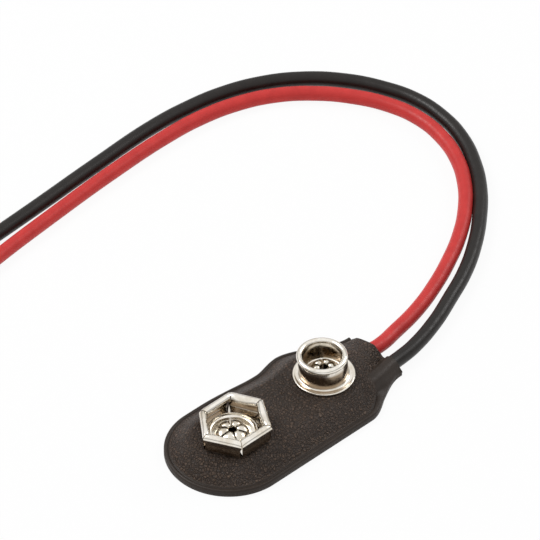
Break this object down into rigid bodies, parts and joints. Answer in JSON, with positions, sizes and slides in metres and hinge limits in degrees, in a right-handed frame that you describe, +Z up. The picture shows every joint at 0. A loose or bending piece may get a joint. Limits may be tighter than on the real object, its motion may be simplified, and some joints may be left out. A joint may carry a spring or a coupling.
{
  "type": "battery snap connector",
  "caption": "Soft grained vinyl pad with a hollow round stud and a six-petal spring socket for a block battery's snap contacts, and two loose stranded leads.",
  "frame": {"origin": "midway between the centres of the two contacts, on the underside of the pad", "axes": "+X from the socket to the stud and on to the tail that the leads leave by, +Z up out of the contacts, +Y to the far side of the picture"},
  "size_m": [0.1027, 0.0486, 0.0054],
  "materials": {
    "grained_vinyl": "leather-grained soft vinyl",
    "plain_vinyl": "plain soft vinyl",
    "fibre_board": "pressed fibre",
    "nickel_plate": "bright nickel plate",
    "rivet_nickel": "nickel plate",
    "tag_brass": "tinned brass",
    "solder": "solder",
    "red_pvc": "semi-gloss insulation",
    "black_pvc": "semi-gloss insulation",
    "tinned_copper": "tinned strands"
  },
  "bodies": {
    "root": {"back_cover": "plain_vinyl", "top_cover": "grained_vinyl", "contact_board": "fibre_board", "stud_terminal": "nickel_plate", "stud_rivet": "rivet_nickel", "stud_solder_tag": "tag_brass", "socket_terminal": "nickel_plate", "socket_rivet": "rivet_nickel", "socket_solder_tag": "tag_brass", "red_lead": "red_pvc", "red_inner_core": "tinned_copper", "red_solder_joint": "solder", "red_tinned_tip": "tinned_copper", "black_lead": "black_pvc", "black_inner_core": "tinned_copper", "black_solder_joint": "solder", "black_tinned_tip": "tinned_copper"}
  },
  "joints": []
}
